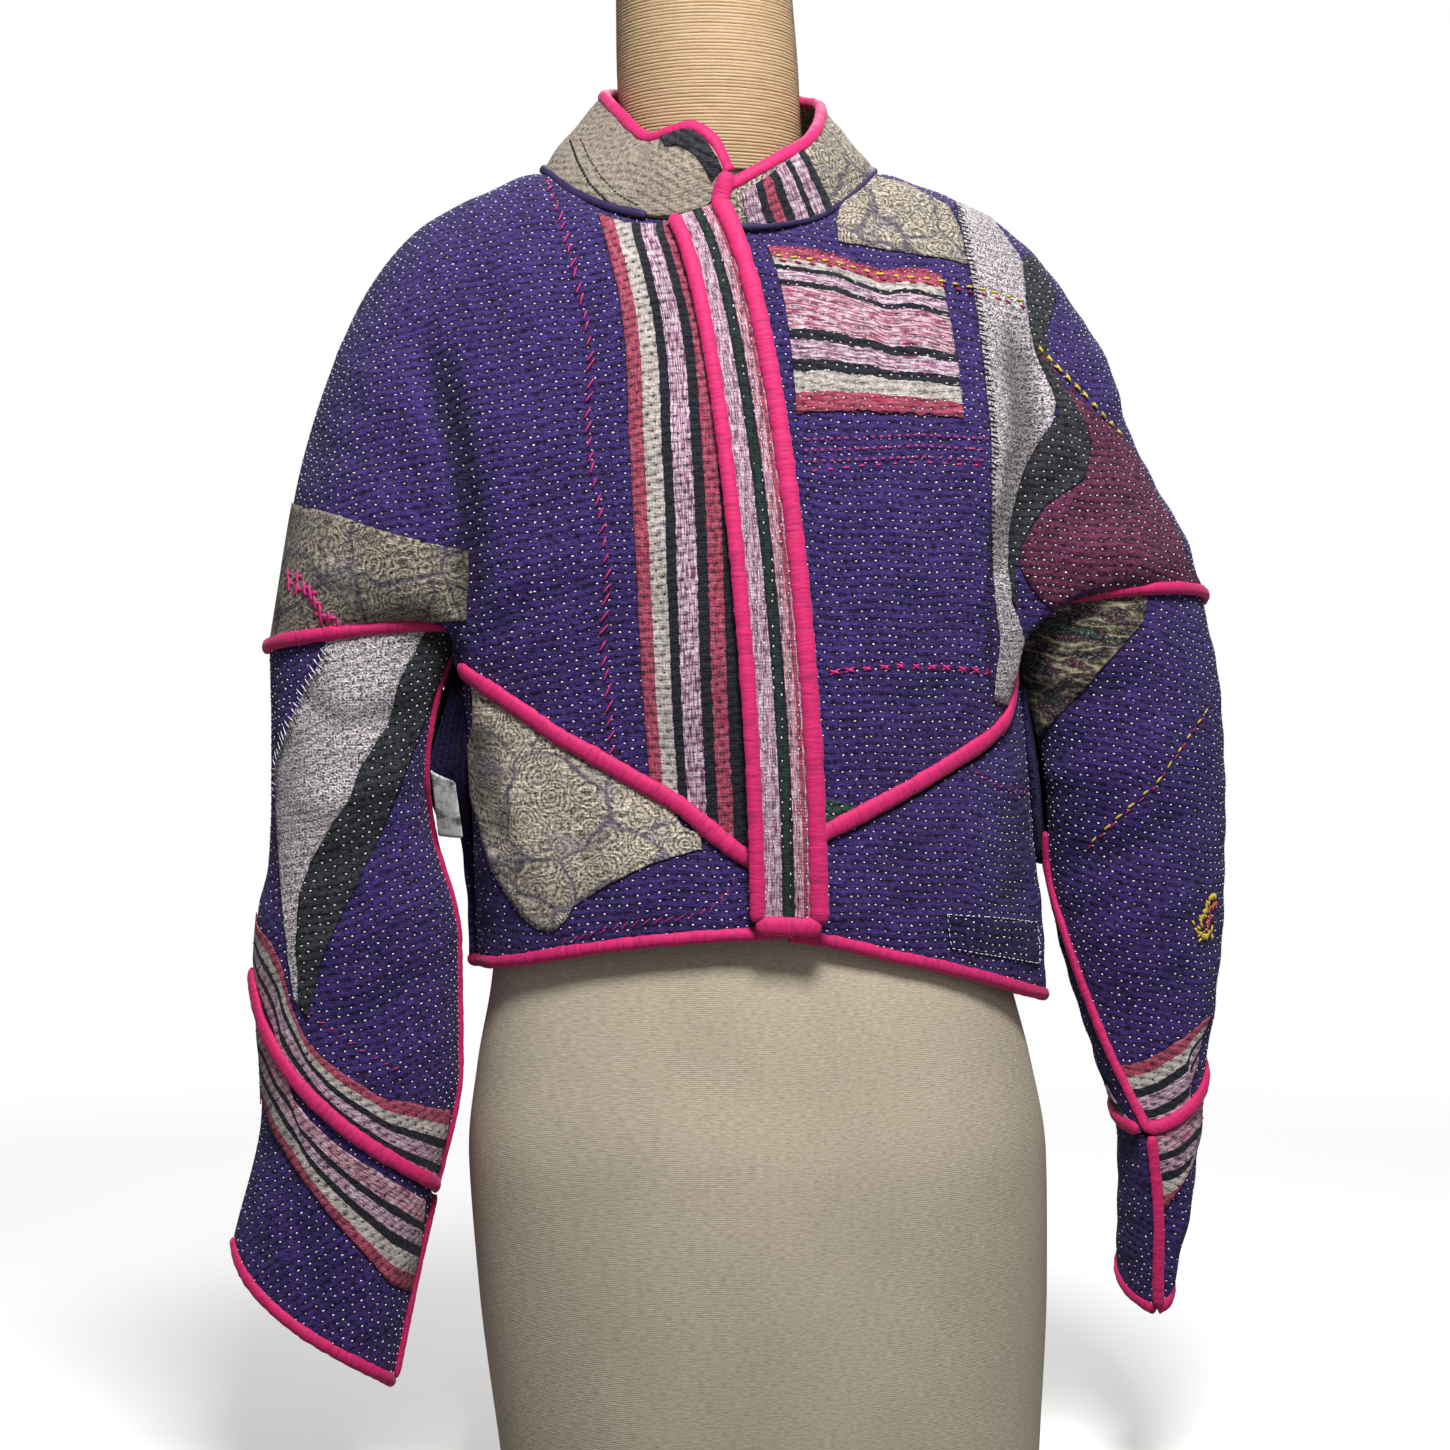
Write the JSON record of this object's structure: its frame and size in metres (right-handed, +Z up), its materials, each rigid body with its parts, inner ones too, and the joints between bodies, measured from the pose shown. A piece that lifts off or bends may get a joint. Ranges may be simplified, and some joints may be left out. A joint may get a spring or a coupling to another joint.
{
  "type": "kantha jacket on dress form",
  "caption": "Cropped quilted patchwork jacket with batwing sleeves, stand collar, placket and bound seams, worn on a limbless dress form with a flat base.",
  "frame": {"origin": "centre of the dress form's flat base", "axes": "+Z up, -Y to the front of the jacket, -X to the wearer's right"},
  "size_m": [0.6606, 0.2665, 1.005],
  "materials": {
    "quilt": "running-stitched layered cotton, puckered, matt",
    "patchwork": "striped and printed quilted cotton, matt",
    "binding": "plain cotton bias tape, slightly sheened",
    "tab": "plain woven tape",
    "form_cover": "smooth stretched jersey",
    "cord": "fine wound paper cord, slightly glossy"
  },
  "bodies": {
    "root": {"front_right": "quilt", "front_left": "quilt", "front_right_lower": "quilt", "front_left_lower": "quilt", "back_upper": "quilt", "back_lower": "quilt", "sleeve_right_front": "quilt", "sleeve_left_front": "quilt", "sleeve_right_back": "quilt", "sleeve_left_back": "quilt", "cuff_right_front": "quilt", "cuff_left_front": "quilt", "cuff_right_back": "quilt", "cuff_left_back": "quilt", "gusset_right": "quilt", "gusset_left": "quilt", "collar_right": "patchwork", "collar_left": "patchwork", "collar_corner": "patchwork", "placket": "patchwork", "patch_chest": "patchwork", "patch_shoulder": "patchwork", "patch_sleeve": "patchwork", "patch_hem": "patchwork", "label_tab": "tab", "form_torso": "form_cover", "form_neck": "cord", "form_cap": "cord", "binding_collar_left": "binding", "binding_collar_right": "binding", "binding_cuff_left": "binding", "binding_cuff_left_back": "binding", "binding_cuff_right": "binding", "binding_cuff_right_back": "binding", "binding_cuff_seam_left": "binding", "binding_cuff_seam_right": "binding", "binding_diagonal_back": "binding", "binding_diagonal_left": "binding", "binding_diagonal_right": "binding", "binding_elbow_left": "binding", "binding_elbow_left_back": "binding", "binding_elbow_right": "binding", "binding_elbow_right_back": "binding", "binding_forearm_left": "binding", "binding_forearm_left_back": "binding", "binding_forearm_right": "binding", "binding_forearm_right_back": "binding", "binding_hem_back": "binding", "binding_hem_left": "binding", "binding_hem_right": "binding", "binding_placket_foot": "binding", "binding_placket_inner": "binding", "binding_placket_outer": "binding", "binding_underarm_left": "binding", "binding_underarm_right": "binding"}
  },
  "joints": []
}
